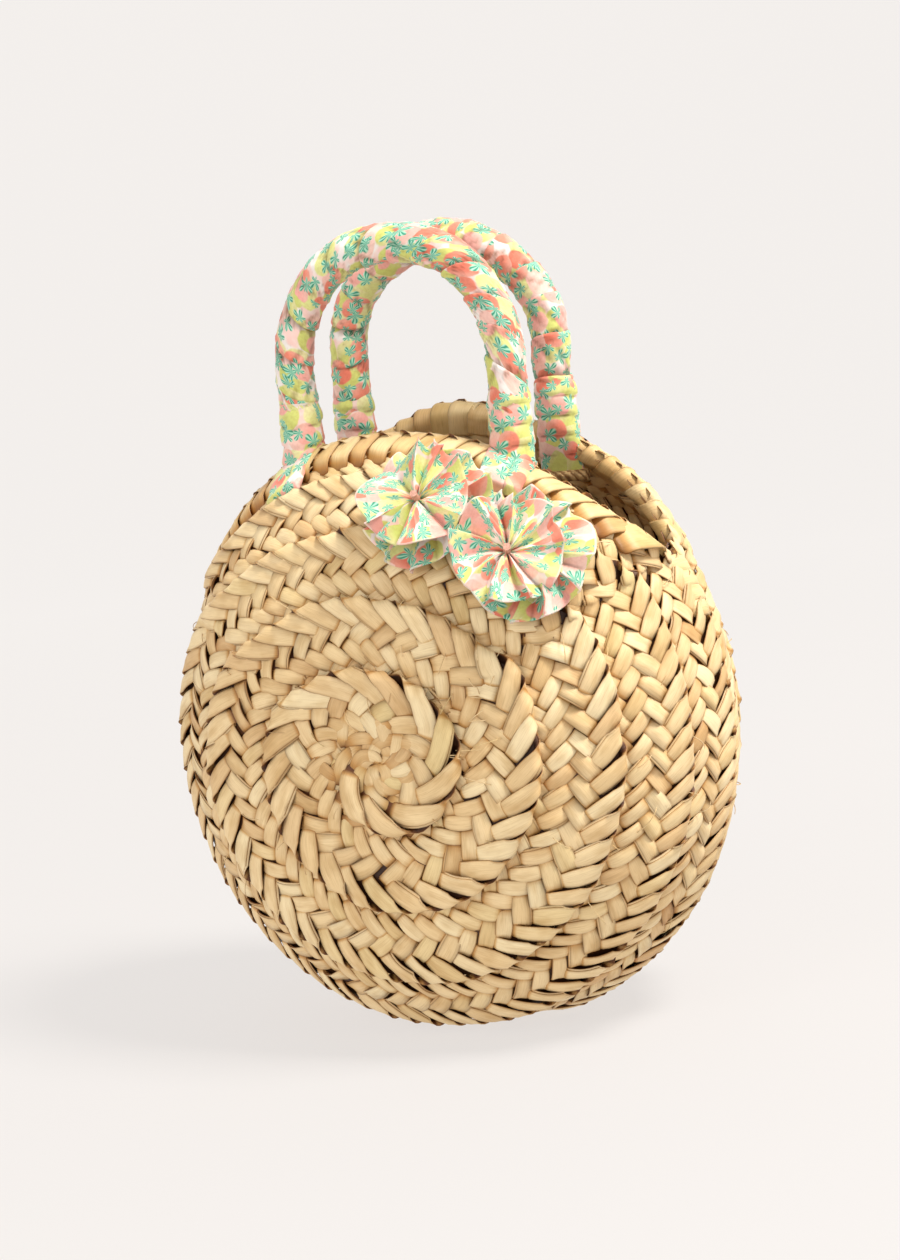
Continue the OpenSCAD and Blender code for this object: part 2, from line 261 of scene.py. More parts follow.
class Dome:
    """The middle surface of a panel's wall, as seen from its own side, on a grid of angle and
    share of the way from the middle of the dome to its edge."""

    STEP = 0.5
    ROWS = 201
    FLOOR = 4.0
    FLOOR_BLEND = 2.0

    def __init__(self, bumps):
        th = np.arange(-90, 270 + self.STEP / 2, self.STEP)
        s = np.linspace(0, 1, self.ROWS)
        th_grid, s_grid = np.meshgrid(th, s, indexing="ij")
        r = s_grid * (2 - s_grid)
        depth = wall_depth(mouth_share(th_grid), r)
        angle = np.radians(th_grid)
        points = np.stack([
            HALF_W * r * np.cos(angle), -depth, CENTRE_Z + HALF_H * r * np.sin(angle)], -1)
        points = points - WALL / 2 * self.normals(points)
        points[..., 2] += edge_sag(th_grid, bumps) * s_grid ** SAG_FADE
        lift = points[..., 2] - self.FLOOR
        points[..., 2] = self.FLOOR + 0.5 * (lift + np.sqrt(lift ** 2 + self.FLOOR_BLEND ** 2))
        run = np.concatenate([
            np.zeros((len(th), 1)), np.cumsum(np.linalg.norm(np.diff(points, axis=1), axis=-1), 1)], 1)
        self.length = run[:, -1]
        even = np.linspace(0, 1, self.ROWS)
        for i in range(len(th)):
            share_run = run[i] / run[i, -1]
            points[i] = np.stack([np.interp(even, share_run, points[i, :, k]) for k in range(3)], -1)
        self.points = points
        self.normal = self.normals(points)
        self.outward = unit(np.gradient(points, axis=1))

    @staticmethod
    def normals(points):
        along = np.gradient(points, axis=1)
        around = np.gradient(points, axis=0)
        around[0] = around[-1] = points[1] - points[-2]
        normal = unit(np.cross(along, around))
        normal[:, 0] = (0, -1, 0)
        normal[:, 1] = unit(normal[:, 1] + normal[:, 0])
        return normal

    def at(self, th, share):
        """The point, the normal and the direction away from the middle, at any angle and share."""
        column = ((th + 90) % 360) / self.STEP
        row = share * (self.ROWS - 1)
        i = np.clip(np.floor(column).astype(int), 0, len(self.points) - 2)
        j = np.clip(np.floor(row).astype(int), 0, self.ROWS - 2)
        a = (column - i)[..., None]
        b = (row - j)[..., None]

        def mix(grid):
            return ((grid[i, j] * (1 - a) + grid[i + 1, j] * a) * (1 - b)
                    + (grid[i, j + 1] * (1 - a) + grid[i + 1, j + 1] * a) * b)

        return mix(self.points), unit(mix(self.normal)), unit(mix(self.outward))


domes = {name: Dome(bumps) for name, bumps in SAGS.items()}


# ---- the coil of braid ----

JOIN_START = 0.08
JOIN_RUN = 0.3
LEVEL_MIN = 0.02
MOUTH_STOP = 0.016


def coil_upper(turn):
    return turn - smooth((turn - (COIL_END - COIL_TAPER)) / COIL_TAPER)


def coil_lower(turn):
    past = np.maximum(turn - 1, 0)
    return past * smooth((past - JOIN_START) / JOIN_RUN)


def coil_angle(turn):
    return COIL_END_ANGLE + 360 * (turn - COIL_END)


def coil_share(turn, level):
    """Share of the way to the edge of a level, counted in turns, so that the last turn ends on
    the edge all the way round."""
    last = COIL_END - ((COIL_END - turn) % 1.0)
    edge = coil_upper(last)
    return level / TURNS + (1 - edge / TURNS) * (level / edge) ** 4


def coil_place(dome, turn, v):
    """Places a point v across the braid, 0 at its inner edge, at a given turn of the coil."""
    low, high = coil_lower(turn), coil_upper(turn)
    level = np.maximum(low + (high - low) * v / BRAID_W, LEVEL_MIN)
    th = coil_angle(turn)
    # the last turn stops just short of the mouth edge, inside the strips folded over it
    limit = 1 - MOUTH_STOP * mouth_share((th + 90) % 360 - 90) ** 0.3
    return dome.at(th, np.minimum(coil_share(turn, level), limit))


coil_turns = np.arange(COIL_START, COIL_END, 0.001)
coil_middle = coil_place(domes["front"], coil_turns, np.full(len(coil_turns), BRAID_W / 2))[0]
coil_run = np.concatenate([[0], np.cumsum(np.linalg.norm(np.diff(coil_middle, axis=0), axis=-1))])

SLOPE = STRIP_PITCH / RING_W
LEG_END = 31.9
# the outermost ring is cut short so that strips going out pass midway between strips coming back
EDGE_RING_W = (2.5 * RING_W - math.pi * ROLL_R) / 2
INNER_V = LEG_END - EDGE_RING_W - (RINGS - 1) * RING_W
FLOAT_RISE = 1.15
TILT_IN = -2.5
TILT_OUT = 1.5
DEEPEST = -1.2
SHALLOWEST = 1.3

# how far the strips differ from each other, as spreads, and the share that are doubled
JUT = 0.55
WANDER = 0.5
PUFF = 0.16
TWIST = 8
UNEVEN_W = 0.04
DOUBLED_SHARE = 0.62


def ring_place(v):
    """Which ring of the braid a point across it lies in, and the share of the way through."""
    x = np.clip((v - INNER_V) / RING_W, 0, RINGS - 1e-6)
    ring = np.minimum(x.astype(int), RINGS - 1)
    share = x - ring
    share = np.where(ring == RINGS - 1, np.clip(share * RING_W / EDGE_RING_W, 0, 1), share)
    return ring, share


def weave_height(v, leg, puff):
    """Height of a strip over the middle of the braid: under, over, under and over again on its
    way out (leg 1), the reverse on its way back (leg -1).  puff is (strips, rings)."""
    ring, share = ring_place(np.broadcast_to(v, (len(puff), len(v))))
    sign = np.where((RINGS - 1 - ring) % 2 == 0, 1.0, -1.0)
    middle = sign * FLOAT_RISE * np.sin(math.pi * share) ** 0.5 * np.take_along_axis(puff, ring, axis=1)
    return leg * np.where(ring == RINGS - 1, ROLL_R * np.sin(math.pi / 2 * share) ** 0.5, middle)


def coil_strips(dome, seed):
    """Centre lines, normals, widths, tones and heights of every strip of one panel, and which of
    them are doubled.  A strip runs out across the braid, rolls over its edge and runs back in."""
    rng = np.random.default_rng(seed)
    first = -int(2 * SLOPE * LEG_END / STRIP_PITCH)
    count = int(coil_run[-1] / STRIP_PITCH) - first
    start = (first + np.arange(count)) * STRIP_PITCH
    leg_v = np.linspace(INNER_V - TUCK, LEG_END, 31)
    roll = np.linspace(0, math.pi, 9)[1:-1]
    v = np.concatenate([leg_v, LEG_END + ROLL_R * np.sin(roll), leg_v[::-1]])
    jut = rng.normal(0, JUT, (count, 1))
    v = v + jut * smooth((v - LEG_END + RING_W) / RING_W)
    steps_leg = len(leg_v)
    run = np.concatenate([
        SLOPE * leg_v,
        SLOPE * (LEG_END + ROLL_R * roll),
        SLOPE * (2 * LEG_END + ROLL_R * math.pi - leg_v[::-1]),
    ])
    turned = np.concatenate([np.zeros(steps_leg), roll, np.full(steps_leg, math.pi)])
    wander = rng.normal(0, WANDER, (count, 2))
    blend = smooth(np.linspace(0, 1, len(run)) * 3 - 1)
    run = start[:, None] + run + wander[:, :1] * (1 - blend) + wander[:, 1:] * blend
    turn = np.interp(run, coil_run, coil_turns)
    keep = (run[:, 0] > -2 * STRIP_PITCH) & (run[:, -1] < coil_run[-1] + STRIP_PITCH)

    puff = 1 + rng.normal(0, PUFF, (2, count, RINGS))
    height = np.empty_like(run)
    height[:, :steps_leg] = weave_height(leg_v, 1, puff[0])
    height[:, -steps_leg:] = weave_height(leg_v[::-1], -1, puff[1])
    height[:, steps_leg:-steps_leg] = ROLL_R * np.cos(roll)
    # lift, from which the palm material paints shade: 0 where a strip dips deepest under its neighbours, 1
    # where it lies highest
    lift = np.clip((height - DEEPEST) / (SHALLOWEST - DEEPEST), 0, 1)
    lift = np.where(turned > math.pi / 2 + 0.01, 1 - lift, lift)
    height += TILT_IN + (TILT_OUT - TILT_IN) * np.clip(v / LEG_END, 0, 1)

    point, normal, outward = coil_place(dome, turn, v)
    centre = point + normal * height[..., None]
    facing = np.cos(turned)[None, :, None] * normal + np.sin(turned)[None, :, None] * outward
    twist = np.radians(rng.normal(0, TWIST, (count, RINGS)))
    ring, share = ring_place(v)
    lean = np.take_along_axis(twist, ring, axis=1) * np.sin(math.pi * share)
    travel = unit(np.gradient(centre, axis=1))
    side = np.cross(facing, travel)
    facing = facing + side * np.tan(lean)[..., None]

    # strips crowd together towards the inner edge of a tight turn
    middle = coil_lower(turn) + 0.5
    here = coil_lower(turn) + v / BRAID_W
    crowd = np.clip(here / middle, 0.45, 1.3) ** 0.7
    swell = 0.9 + 0.18 * np.sin(math.pi * share) ** 0.7
    width = STRIP_W * crowd * swell * (1 + rng.normal(0, UNEVEN_W, (count, 1)))
    tone = rng.random(count)
    ply = rng.choice([-1.0, 1.0], count) * rng.uniform(0.45, 0.95, count)
    doubled = rng.random(count) < DOUBLED_SHARE
    data = centre, facing, width, tone, lift, ply, doubled
    return [part[keep] for part in data]


STRIPS_PER_PIECE = 62
CROWN = 0.6
PLY_T = 0.4
PLY_SUNK = 0.42
PLY_CROWN = 0.7 * CROWN
CORE_TONE = 0.9


def half_turn_about_z(piece):
    points = mesh_points(piece.data) * (-1, -1, 1)
    piece.data.vertices.foreach_set("co", points.astype(np.float32).ravel())
    piece.data.update()


def braid_shade_sheet(name, dome):
    """A thin sheet in the middle of the braid, seen only in the gaps between the strips, painted all over
    in the darkest painted shade.
    """
    turn = np.linspace(1.0, COIL_END, 1100)[:, None]
    v = np.linspace(-1.0, BRAID_W - 0.8, 9)[None, :]
    turn, v = np.broadcast_arrays(turn, v)
    point, normal, _ = coil_place(dome, turn, v)
    height = TILT_IN + (TILT_OUT - TILT_IN) * np.clip(v / LEG_END, 0, 1)
    points = point + normal * height[..., None]
    zero = np.zeros(turn.shape)
    # lift zero: the whole sheet takes the darkest painted shade of the palm material
    return mesh_object(f"{name}_braid_shade_sheet", points.reshape(-1, 3), grid_quads(turn.shape), {
        "tone": zero + CORE_TONE, "along": turn * 400, "across": zero, "lift": zero})


def coil_panel(name, seed, behind):
    """All the strips of one panel, in several pieces, with the thin sheet of painted shade between them."""
    dome = domes[name]
    centre, facing, width, tone, lift, ply, doubled = coil_strips(dome, seed)
    pieces = [braid_shade_sheet(name, dome)]
    for number, first in enumerate(range(0, len(centre), STRIPS_PER_PIECE)):
        part = slice(first, first + STRIPS_PER_PIECE)
        pieces.append(strips_mesh(
            f"{name}_braid_{number + 1}", centre[part], facing[part], width[part], STRIP_T, CROWN,
            tone[part], lift[part], woven=True))
        middle, normal, wide, shade, high, shift = (
            values[part][doubled[part]] for values in (centre, facing, width, tone, lift, ply))
        travel = np.gradient(middle, axis=1)
        out = unit(np.cross(travel, np.cross(normal, travel)))
        pieces.append(strips_mesh(
            f"{name}_ply_{number + 1}", middle - PLY_SUNK * out, normal, wide, PLY_T, PLY_CROWN, shade,
            high, PLY_SECTION, shift[:, None, None], woven=True))
    if behind:
        for piece in pieces:
            half_turn_about_z(piece)
    return pieces


# half a short strip's length as a share of the way from the middle to the edge
CENTRE_REACH = 8.5 / 165
CENTRE_COUNT = 60
CENTRE_W = 5.6
# about how long that way is
STRAY_RUN = 170
STRAY_W = 0.34
STRAY_STEPS = 9


def centre_strips(name, seed):
    """Short strips tucked in behind the first turns, where the braid starts."""
    rng = np.random.default_rng(seed)
    count = CENTRE_COUNT
    t = np.linspace(-1, 1, 13)[None, :]
    middle_th = np.linspace(-90, 270, count, endpoint=False)[:, None] + rng.normal(0, 6, (count, 1))
    middle_share = (0.03 + 0.017 * (np.arange(count) % 8))[:, None] + rng.normal(0, 0.003, (count, 1))
    heading = np.radians(rng.choice([-38, 40], (count, 1)) + rng.normal(0, 8, (count, 1)))
    share = np.clip(middle_share + CENTRE_REACH * t * np.sin(heading), 0.012, 0.2)
    th = middle_th + np.degrees(CENTRE_REACH * t * np.cos(heading) / np.maximum(middle_share, 0.05))
    point, normal, _ = domes[name].at(th, share)
    height = -0.9 + 0.55 * (np.arange(count) % 3)[:, None] - 0.9 * t ** 2
    centre = point + normal * height[..., None]
    width = CENTRE_W * (1 - 0.25 * t ** 2) * np.ones((count, 1))
    # painted shade: lift makes these strips a little darker along their middles and much darker towards
    # their ends, where they dip
    return strips_mesh(f"{name}_centre_strips", centre, normal, width, 0.6, 0.4, rng.random(count),
                       (0.72 - 0.45 * t ** 2) * np.ones((count, 1)))


def stray_fibres(name, count, seed):
    """Fine hairs of palm that have worked loose from the braid."""
    rng = np.random.default_rng(seed)
    t = np.linspace(0, 1, STRAY_STEPS)[None, :]
    th = rng.uniform(-50, 230, (count, 1)) + rng.normal(0, 4, (count, 1)) * t
    reach = rng.uniform(4, 12, (count, 1)) / STRAY_RUN * rng.choice([-1, 1], (count, 1))
    share = np.clip(rng.uniform(0.12, 0.95, (count, 1)) + reach * t, 0.03, 0.985)
    point, normal, _ = domes[name].at(th, share)
    rise = rng.uniform(1.2, 3.6, (count, 1)) * np.sin(math.pi * t * rng.uniform(0.5, 1.0, (count, 1))) + 1.2
    centre = point + normal * rise[..., None]
    ones = np.ones((count, STRAY_STEPS))
    return strips_mesh(f"{name}_stray_fibres", centre, normal, STRAY_W * ones, 0.26, 0.05,
                       rng.random(count), ones, PLY_SECTION)


front_braid = coil_panel("front", 11, behind=False)
back_braid = coil_panel("back", 23, behind=True)
front_braid += [centre_strips("front", 71), stray_fibres("front", 70, 81)]
back_loose = [centre_strips("back", 73), stray_fibres("back", 60, 83)]
for piece in back_loose:
    half_turn_about_z(piece)
back_braid += back_loose


# ---- materials ----

class Nodes:
    """A small helper that adds and joins shader nodes."""

    def __init__(self, name):
        self.material = bpy.data.materials.new(name)
        self.material.use_nodes = True
        self.tree = self.material.node_tree
        self.shader = self.tree.nodes["Principled BSDF"]

    def add(self, kind, inputs=None, **settings):
        node = self.tree.nodes.new(kind)
        for key, value in settings.items():
            setattr(node, key, value)
        for key, value in (inputs or {}).items():
            self.feed(value, node.inputs[key])
        return node

    def feed(self, value, socket):
        if isinstance(value, bpy.types.NodeSocket):
            self.tree.links.new(value, socket)
        else:
            socket.default_value = value

    def maths(self, operation, a, b=0.0, c=0.0):
        return self.add("ShaderNodeMath", {0: a, 1: b, 2: c}, operation=operation).outputs[0]

    def vector(self, x, y=0.0, z=0.0):
        return self.add("ShaderNodeCombineXYZ", {"X": x, "Y": y, "Z": z}).outputs[0]

    def attribute(self, name):
        return self.add("ShaderNodeAttribute", attribute_name=name).outputs["Fac"]

    def noise(self, place, scale, detail=2.0, roughness=0.5, output="Fac"):
        return self.add("ShaderNodeTexNoise", {
            "Vector": place, "Scale": scale, "Detail": detail, "Roughness": roughness}).outputs[output]

    def mix(self, share, a, b, blend="MIX"):
        node = self.add("ShaderNodeMix", data_type="RGBA", blend_type=blend)
        self.feed(share, node.inputs[0])
        self.feed(a, node.inputs[6])
        self.feed(b, node.inputs[7])
        return node.outputs[2]

    def ramp(self, value, stops, interpolation="LINEAR"):
        node = self.add("ShaderNodeValToRGB", {"Fac": value})
        node.color_ramp.interpolation = interpolation
        for position, colour in stops[2:]:
            node.color_ramp.elements.new(position)
        for element, (position, colour) in zip(node.color_ramp.elements, stops):
            element.position = position
            element.color = (*colour, 1)
        return node.outputs["Color"]

    def bump(self, height, strength, distance):
        node = self.add("ShaderNodeBump", {"Height": height, "Strength": strength, "Distance": distance})
        self.feed(node.outputs[0], self.shader.inputs["Normal"])


def linear(red, green, blue):
    """A colour given as screen values from 0 to 255."""
    return tuple(
        c / 255 / 12.92 if c <= 10 else ((c / 255 + 0.055) / 1.055) ** 2.4 for c in (red, green, blue))


def rgba(*screen):
    return (*linear(*screen), 1)


WHITE = (1.0, 1.0, 1.0)


def palm_material(name, tint=(255, 255, 255), gloss=0.5):
    """Dried palm leaf: long fibres and patches of stain on each strip's own tone, brown along its
    edges, and painted shade where it lies low or dips under another."""
    n = Nodes(name)
    tone, along, across, lift = (n.attribute(key) for key in ("tone", "along", "across", "lift"))
    base = n.ramp(tone, [
        (0.0, linear(226, 190, 138)), (0.12, linear(246, 219, 170)), (0.3, linear(237, 205, 152)),
        (0.45, linear(250, 229, 184)), (0.62, linear(234, 202, 150)), (0.8, linear(244, 216, 165)),
        (0.93, linear(234, 209, 152)), (1.0, linear(220, 180, 126)),
    ])
    fibre_place = n.vector(
        n.maths("MULTIPLY", along, 0.035), n.maths("MULTIPLY", across, 9.0),
        n.maths("MULTIPLY", tone, 97.0))
    fibre = n.noise(fibre_place, 3.2, 5.0, 0.65)
    patch_place = n.vector(n.maths("MULTIPLY", along, 0.05), across, n.maths("MULTIPLY", tone, 53.0))
    patch = n.noise(patch_place, 1.4)
    shade = n.ramp(fibre, [(0.3, (0.66, 0.57, 0.45)), (0.5, (0.95, 0.93, 0.9)), (0.7, WHITE)])
    colour = n.mix(0.6, base, shade, "MULTIPLY")
    stain = n.ramp(patch, [(0.3, (0.74, 0.64, 0.50)), (0.56, WHITE)])
    colour = n.mix(0.75, colour, stain, "MULTIPLY")
    # painted shade from each strip's lift: dark brown where it lies lowest or dips under another, clear
    # where it lies highest
    dip_shade = n.ramp(lift, [
        (0.0, linear(62, 36, 14)), (0.24, linear(120, 78, 38)), (0.55, linear(222, 194, 154)),
        (0.78, WHITE)])
    colour = n.mix(1.0, colour, dip_shade, "MULTIPLY")
    edge = n.maths("POWER", n.maths("MULTIPLY", n.maths("ABSOLUTE", across), 2.0), 9.0)
    colour = n.mix(n.maths("MULTIPLY", edge, 0.6), colour, rgba(116, 72, 34))
    colour = n.mix(1.0, colour, rgba(*tint), "MULTIPLY")
    n.feed(colour, n.shader.inputs["Base Color"])
    n.feed(n.maths("MULTIPLY_ADD", fibre, 0.25, gloss - 0.12), n.shader.inputs["Roughness"])
    n.shader.inputs["Specular IOR Level"].default_value = 0.42
    n.bump(fibre, 0.35, 0.0004)
    return n.material


def cord_material(name, light, dark, strand):
    """Twisted fibre for the CAD cords, laid out from each point's own place."""
    n = Nodes(name)
    place = n.add("ShaderNodeTexCoord").outputs["Object"]
    strands = n.add("ShaderNodeTexWave", {
        "Vector": place, "Scale": 1 / strand, "Distortion": 3.0, "Detail": 2.0, "Detail Scale": 4.0,
    }, bands_direction="DIAGONAL").outputs["Fac"]
    hair = n.noise(place, 900.0, 4.0, 0.6)
    colour = n.mix(strands, rgba(*dark), rgba(*light))
    colour = n.mix(0.5, colour, n.ramp(hair, [(0.3, (0.6, 0.52, 0.42)), (0.6, WHITE)]), "MULTIPLY")
    n.feed(colour, n.shader.inputs["Base Color"])
    n.feed(n.maths("MULTIPLY_ADD", hair, 0.3, 0.5), n.shader.inputs["Roughness"])
    n.bump(n.maths("ADD", strands, hair), 0.5, 0.0005)
    return n.material


PRINT_CELL = 10.6


def print_material(name):
    """Fine cotton printed all over with round fruits and leaf sprigs, from its cloth place (u, v) in
    millimetres."""
    n = Nodes(name)
    u, v, shade = n.attribute("u"), n.attribute("v"), n.attribute("shade")
    place = n.vector(n.maths("DIVIDE", u, PRINT_CELL), n.maths("DIVIDE", v, PRINT_CELL))
    wobble = n.noise(place, 2.2, 1.0, output="Color")
    place = n.mix(0.16, place, wobble, "ADD")

    def cells(scale, offset, randomness=0.75):
        """Scattered cells: each point's place from its cell's middle, its distance from there and
        the cell's random values."""
        moved = n.add(
            "ShaderNodeVectorMath", {0: place, 1: (offset, offset * 1.7, 0)}, operation="ADD").outputs[0]
        node = n.add("ShaderNodeTexVoronoi", {"Vector": moved, "Scale": scale, "Randomness": randomness},
                     voronoi_dimensions="2D")
        local = n.add("ShaderNodeVectorMath", {0: moved, 1: node.outputs["Position"]},
                      operation="SUBTRACT").outputs[0]
        parts = n.add("ShaderNodeSeparateXYZ", {0: local})
        chance = n.add("ShaderNodeSeparateColor", {0: node.outputs["Color"]})
        return parts.outputs[0], parts.outputs[1], node.outputs["Distance"], chance.outputs

    def inside(distance, limit, softness=0.03):
        edge = n.maths("SUBTRACT", limit, distance)
        return n.add("ShaderNodeMapRange", {
            "Value": edge, "From Min": -softness, "From Max": softness}).outputs[0]

    colour = n.ramp(n.noise(place, 1.3), [(0.42, linear(246, 208, 198)), (0.56, linear(244, 236, 230))])
    # yellow-green fruits first, then coral ones over them in some of their cells, then the sprigs
    for offset, limit, tones in (
        (3.1, 0.56, [
            (0.0, linear(212, 216, 122)), (0.45, linear(226, 228, 150)), (0.8, linear(246, 200, 186))]),
        (7.7, 0.43, [
            (0.0, linear(238, 140, 116)), (0.45, linear(244, 176, 164)), (0.75, linear(234, 128, 104))]),
    ):
        x, y, distance, chance = cells(1.0, offset)
        fruit = n.ramp(chance[0], tones, "CONSTANT")
        glow = n.maths("ADD", n.maths("MULTIPLY", x, -0.9), n.maths("MULTIPLY", y, 1.1))
        lit = n.add("ShaderNodeMapRange", {
            "Value": glow, "From Min": 0.0, "From Max": 0.45, "To Max": 0.3}).outputs[0]
        fruit = n.mix(lit, fruit, rgba(255, 232, 214))
        dotted = n.noise(place, 9.0, 2.0)
        fruit = n.mix(0.5, fruit, n.ramp(dotted, [(0.35, (0.86, 0.78, 0.74)), (0.6, WHITE)]), "MULTIPLY")
        share = inside(distance, limit)
        if offset > 5:
            share = n.maths("MULTIPLY", share, n.maths("LESS_THAN", chance[1], 0.74))
        colour = n.mix(share, colour, fruit)
    for offset, size in ((1.3, 1.0), (9.4, 1.25)):
        x, y, distance, chance = cells(size, offset)
        angle = n.maths("ARCTAN2", y, x)
        turn = n.maths("MULTIPLY_ADD", chance[0], 6.0, n.maths("MULTIPLY", angle, 2.5))
        lobes = n.maths("POWER", n.maths("ABSOLUTE", n.maths("COSINE", turn)), 0.62)
        facing = n.maths("COSINE", n.maths("MULTIPLY_ADD", chance[2], 6.0, angle))
        reach = n.maths("MULTIPLY_ADD", facing, 0.14, 0.30)
        limit = n.maths("MULTIPLY_ADD", lobes, reach, 0.02)
        vein = n.maths("COSINE", n.maths("MULTIPLY", turn, 6.0))
        leaf = n.ramp(n.maths("MULTIPLY_ADD", vein, 0.5, 0.5), [
            (0.1, linear(58, 150, 124)), (0.5, linear(118, 196, 164)), (0.9, linear(176, 224, 198))])
        share = n.maths("MULTIPLY", inside(distance, limit, 0.035), n.maths("LESS_THAN", chance[1], 0.72))
        colour = n.mix(share, colour, leaf)
    threads = n.noise(n.vector(n.maths("MULTIPLY", u, 5.0), n.maths("MULTIPLY", v, 5.0)), 1.0, 3.0, 0.7)
    colour = n.mix(0.5, colour, n.ramp(threads, [(0.3, (0.84, 0.82, 0.82)), (0.6, WHITE)]), "MULTIPLY")
    colour = n.mix(1.0, colour, n.ramp(shade, [(0.0, (0.42, 0.33, 0.27)), (0.5, WHITE)]), "MULTIPLY")
    hem = n.maths("GREATER_THAN", shade, 0.95)
    colour = n.mix(n.maths("MULTIPLY", hem, 0.6), colour, rgba(250, 226, 212))
    n.feed(colour, n.shader.inputs["Base Color"])
    n.feed(n.maths("MULTIPLY_ADD", threads, 0.2, 0.66), n.shader.inputs["Roughness"])
    n.shader.inputs["Sheen Weight"].default_value = 0.25
    n.shader.inputs["Specular IOR Level"].default_value = 0.25
    n.bump(threads, 0.25, 0.0002)
    return n.material


palm = palm_material("palm_leaf")
palm_rim = palm_material("palm_leaf_rim", tint=(255, 250, 238), gloss=0.46)
cotton = print_material("printed_cotton")
palm_cord = cord_material("palm_cord", (226, 194, 140), (150, 106, 58), 0.004)
palm_rope = cord_material("palm_rope", (214, 180, 126), (138, 96, 52), 0.006)
thread = cord_material("sewing_thread", (238, 190, 168), (206, 140, 120), 0.0012)


# ---- what each piece rides on and stands for ----

def dress(pieces, material, body, slot, *nodes):
    for piece in pieces:
        piece.data.materials.clear()
        piece.data.materials.append(material)
        if body:
            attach(piece, body)
        if nodes:
            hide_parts(*nodes)


dress(front_braid, palm, "basket", "palm_braid", "front_panel")
dress(back_braid, palm, "basket", "palm_braid", "back_panel")
for name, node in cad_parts.items():
    kind = palm_cord
    if name.endswith(("_rope", "_knot", "_lashing")):
        kind = palm_rope
    elif name.endswith("_stitch"):
        kind = thread
    node.data.materials.clear()
    node.data.materials.append(kind)


# ---- rims: broad strips lapped over the edge of the mouth ----

RIM_PITCH = 9.4
RIM_STRIP_W = 12.6
RIM_ROLL_R = 3.2
RIM_OUTSIDE = 14.0
RIM_INSIDE = 12.0
RIM_LEAN = 0.38
RIM_SINK = 2.8
RIM_ENDS = 3.0
RIM_TILT = 7
RIM_T = 0.9
RIM_CROWN = 0.55


def rim_strips(name, dome, seed):
    """Slanting strips that run up the outside of a mouth edge, roll over it and end inside."""
    rng = np.random.default_rng(seed)
    th = np.linspace(MOUTH_ANGLE + RIM_ENDS, 180 - MOUTH_ANGLE - RIM_ENDS, 400)
    edge, _, _ = dome.at(th, np.ones_like(th))
    run = np.concatenate([[0], np.cumsum(np.linalg.norm(np.diff(edge, axis=0), axis=-1))])
    count = int(run[-1] / RIM_PITCH)
    start = (np.arange(count) + 0.5) * run[-1] / count + rng.normal(0, 0.35, count)
    down = np.linspace(RIM_OUTSIDE, 0, 13)
    roll = np.linspace(0, math.pi, 11)[1:-1]
    inner = np.linspace(0, RIM_INSIDE, 11)
    below = np.concatenate([down, np.zeros(len(roll)), inner])
    turned = np.concatenate([np.zeros(len(down)), roll, np.full(len(inner), math.pi)])
    travel = np.concatenate([-down, RIM_ROLL_R * roll, RIM_ROLL_R * math.pi + inner])
    shape = (count, len(below))
    at = start[:, None] - RIM_LEAN * (travel - RIM_ROLL_R * math.pi / 2)
    angle = th[0] + (th[-1] - th[0]) * np.interp(at, run, np.linspace(0, 1, len(th)))
    length = np.interp((angle + 90) % 360, np.arange(len(dome.length)) * dome.STEP, dome.length)
    point, normal, outward = dome.at(angle, 1 - (below + RIM_SINK) / length)
    onset = smooth((RIM_OUTSIDE - down) / 6.0)
    rise = np.concatenate([
        RIM_ROLL_R * onset - 0.4 * (1 - onset),
        RIM_ROLL_R * np.cos(roll), np.full(len(inner), -RIM_ROLL_R)])
    reach = RIM_ROLL_R * np.sin(turned)
    centre = point + normal * rise[None, :, None] + outward * reach[None, :, None]
    facing = np.cos(turned)[None, :, None] * normal + np.sin(turned)[None, :, None] * outward
    along_rim = unit(np.cross(facing, unit(np.gradient(centre, axis=1))))
    facing = facing + along_rim * np.tan(np.radians(RIM_TILT + rng.normal(0, 2.5, (count, 1, 1))))
    fade = smooth(travel + RIM_OUTSIDE - 0.5) * 0.25 + 0.75
    width = RIM_STRIP_W * (1 + rng.normal(0, 0.05, (count, 1))) * np.broadcast_to(fade, shape)
    # the first strip is broader and lies over its neighbour
    width[0] *= 1.25
    centre[0] += facing[0] * 0.9
    # painted shade: each strip is darker over the first 8 mm of its lower end on the outside, where it
    # starts low against the wall
    lift = np.broadcast_to(0.35 + 0.65 * smooth((travel + RIM_OUTSIDE) / 8), shape)
    return strips_mesh(name, centre, facing, width, RIM_T, RIM_CROWN, rng.random(count), lift)


def corner_binding(name, side, seed):
    """Strips wound round both edges just past the end of the mouth."""
    rng = np.random.default_rng(seed)
    turns, steps = 4, 26
    t = np.linspace(0, turns, turns * steps + 1)
    run = -3.0 + 6.4 * t
    angle = np.radians(MOUTH_ANGLE - np.degrees(run / HALF_W))
    zero = np.zeros_like(angle)
    radial = np.stack([side * np.cos(angle), zero, np.sin(angle)], -1)
    middle = np.stack([side * HALF_W * np.cos(angle), zero, CENTRE_Z + HALF_H * np.sin(angle)], -1)
    swing = TAU * t
    y_axis = np.array([0.0, 1.0, 0.0])
    wide, tall = 7.2, 4.6
    centre = (middle + radial * (tall * np.cos(swing) - 2.2)[:, None]
              + y_axis * (wide * np.sin(swing))[:, None])
    facing = unit(radial * (np.cos(swing) / tall)[:, None] + y_axis * (np.sin(swing) / wide)[:, None])
    width = 8.2 + 0.5 * np.sin(1.3 * t + rng.random())
    shape = (1, len(t))
    return strips_mesh(name, centre[None], facing[None], np.broadcast_to(width, shape), RIM_T, 0.8,
                       np.array([0.33 + 0.2 * (side > 0)]), np.ones(shape))


